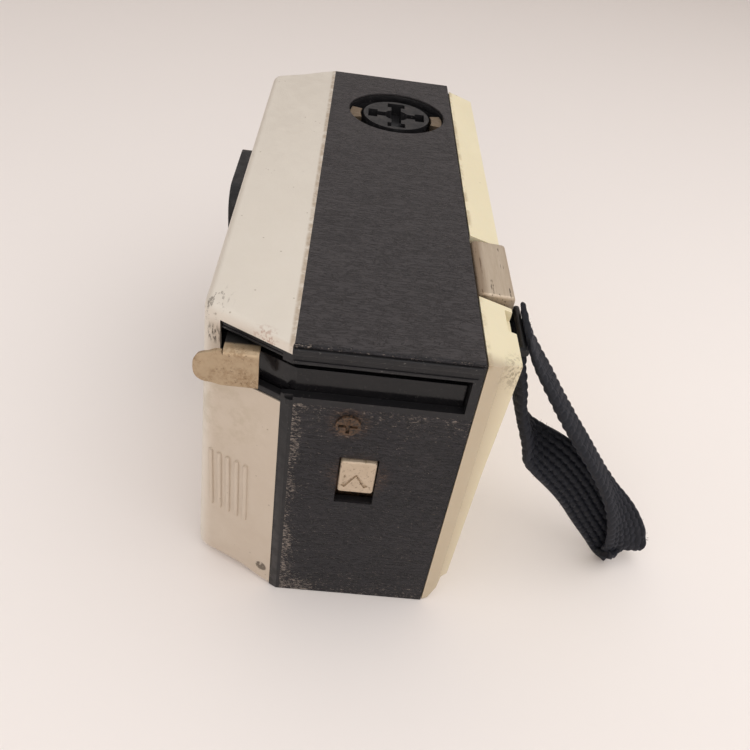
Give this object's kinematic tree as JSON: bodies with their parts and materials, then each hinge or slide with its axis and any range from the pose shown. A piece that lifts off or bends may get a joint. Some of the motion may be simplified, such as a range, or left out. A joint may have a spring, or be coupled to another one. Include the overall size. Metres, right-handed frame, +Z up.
{
  "type": "snapshot box camera",
  "caption": "Pocket snapshot camera with a leathered band, bevelled silver front, hinged back door, thumb lever, turning flash socket and a woven wrist strap.",
  "frame": {"origin": "centre of the base of the leathered band, on the surface the camera stands on", "axes": "+Z up, lens facing -Y, +X towards the end with the thumb lever and the door latch"},
  "size_m": [0.1094, 0.0939, 0.06],
  "materials": {
    "black_plastic": "moulded, satin, slightly worn",
    "gloss_black": "polished black plastic",
    "silver_shell": "satin silver lacquer, scuffed, warm with age",
    "leatherette": "fine grained leatherette with white dust in the grain",
    "cream_plastic": "yellowed moulded plastic",
    "nickel": "tarnished nickel plate, brushed",
    "brass": "stamped brass",
    "steel": "spring steel",
    "rusty_screw": "rusted",
    "glass": "clear",
    "amber": "translucent amber",
    "foam": "black foam",
    "webbing": "woven black webbing",
    "gear_plastic": "acetal",
    "cell_jacket": "plain printed jacket",
    "lacquer_black": "matt black lacquer"
  },
  "bodies": {
    "camera": {"body_frame": "black_plastic", "front_shell": "silver_shell", "top_covering": "leatherette", "near_end_covering": "leatherette", "far_end_covering": "leatherette", "lens_panel": "black_plastic", "lens_barrel": "black_plastic", "lens_ring": "nickel", "front_element": "glass", "rear_element": "glass", "shutter_plate": "lacquer_black", "blade_pin": "brass", "blade_spring": "steel", "light_tunnel": "black_plastic", "release_spring": "steel", "viewfinder_tube": "black_plastic", "viewfinder_objective": "glass", "eyepiece_lens": "glass", "eyepiece_bezel": "nickel", "flash_socket_well": "black_plastic", "flash_contacts": "brass", "rotor_detent_spring": "steel", "battery_holder": "black_plastic", "battery_cells": "cell_jacket", "battery_contacts": "brass", "lever_guide": "gloss_black", "carrier_shelf": "brass", "ratchet_spring": "steel", "lever_return_spring": "steel", "latch_spring": "steel", "hinge_pin": "steel", "end_screws": "rusty_screw", "base_screws": "steel"},
    "door": {"back_door": "cream_plastic", "film_window": "amber", "cartridge_spring": "steel", "light_seal": "foam", "door_catch": "steel", "strap_lug": "black_plastic", "wrist_strap": "webbing"},
    "latch": {"latch_button": "nickel", "latch_plate": "steel"},
    "release": {"release_button": "black_plastic", "release_arm": "steel"},
    "blade": {"shutter_blade": "lacquer_black"},
    "lever": {"advance_lever": "nickel", "lever_rack": "brass"},
    "winder": {"wind_shaft": "steel", "wind_pinion": "brass", "drive_gear": "gear_plastic"},
    "take_up": {"take_up_gear": "gear_plastic"},
    "rotor": {"flash_rotor": "black_plastic"}
  },
  "joints": [
    {"name": "door_hinge", "type": "hinge", "parent": "camera", "child": "door", "pos_m": [-0.0526, 0.0158, 0.029], "axis": [0, 0, 1], "range_deg": [0, 110]},
    {"name": "latch_slide", "type": "slide", "parent": "camera", "child": "latch", "axis": [0, 0, 1], "range_m": [-0.0022, 0], "stiffness_N_per_m": 150, "springref_m": 0.001, "deforming": ["latch_spring"]},
    {"name": "release_slide", "type": "slide", "parent": "camera", "child": "release", "axis": [0, 0, -1], "range_m": [0, 0.003], "stiffness_N_per_m": 150, "springref_m": -0.001, "deforming": ["release_spring"]},
    {"name": "blade_swing", "type": "hinge", "parent": "camera", "child": "blade", "pos_m": [-0.0013, -0.0229, 0.02], "axis": [0, 1, 0], "range_deg": [0, 46]},
    {"name": "lever_swing", "type": "hinge", "parent": "camera", "child": "lever", "pos_m": [0.005, 0.001, 0.0548], "axis": [0, 0, 1], "range_deg": [0, 24], "stiffness_Nm_per_rad": 0.03, "springref_deg": -17.19},
    {"name": "winder_spin", "type": "hinge", "parent": "camera", "child": "winder", "pos_m": [0.04105, -0.00732, 0.03], "axis": [0, 0, 1], "range_deg": [0, 250]},
    {"name": "take_up_spin", "type": "hinge", "parent": "camera", "child": "take_up", "pos_m": [0.024, 0, 0.005], "axis": [0, 0, 1], "range_deg": [-175, 0]},
    {"name": "rotor_spin", "type": "hinge", "parent": "camera", "child": "rotor", "pos_m": [-0.0332, 0.0012, 0.056], "axis": [0, 0, 1], "continuous": true}
  ],
  "couplings": [
    {"joint": "blade_swing", "follows": "release_slide", "rad_per_m": 261.8},
    {"joint": "winder_spin", "follows": "lever_swing", "ratio": 10.25},
    {"joint": "take_up_spin", "follows": "lever_swing", "ratio": -7.175}
  ]
}
